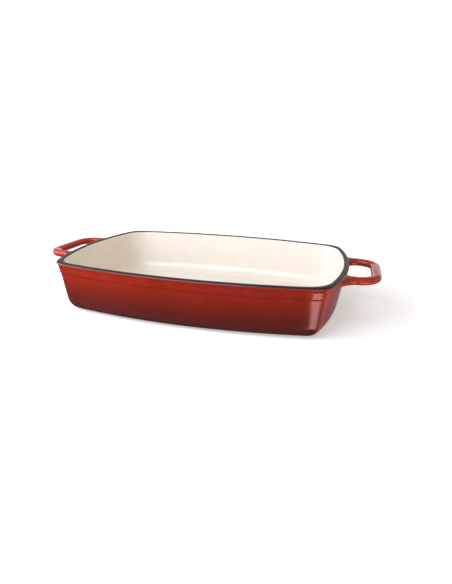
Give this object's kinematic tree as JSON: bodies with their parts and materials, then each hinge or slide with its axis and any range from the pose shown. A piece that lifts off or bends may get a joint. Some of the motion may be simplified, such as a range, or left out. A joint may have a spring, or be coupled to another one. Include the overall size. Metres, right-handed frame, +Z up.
{
  "type": "baking dish",
  "caption": "Rectangular enamelled cast iron baking dish with bowed sides, a dark rim, a cream inside and a loop handle at each end.",
  "frame": {"origin": "middle of the flat underside, on the surface that the dish stands on", "axes": "+X along the dish through both handles, +Y across it, +Z up out of the open mouth"},
  "size_m": [0.402, 0.237, 0.059],
  "materials": {
    "iron": "bare casting under the enamel",
    "red_enamel": "glossy vitreous enamel, red at the rim and darker towards the base",
    "cream_enamel": "glossy cream vitreous enamel with a slight orange-peel surface",
    "rim_enamel": "satin dark grey ground-coat enamel",
    "underside_enamel": "dark maroon enamel, dulled by use where it stands"
  },
  "bodies": {
    "root": {"iron_casting": "iron", "exterior_enamel": "red_enamel", "right_handle_enamel": "red_enamel", "left_handle_enamel": "red_enamel", "interior_enamel": "cream_enamel", "rim_enamel": "rim_enamel", "underside_enamel": "underside_enamel"}
  },
  "joints": []
}
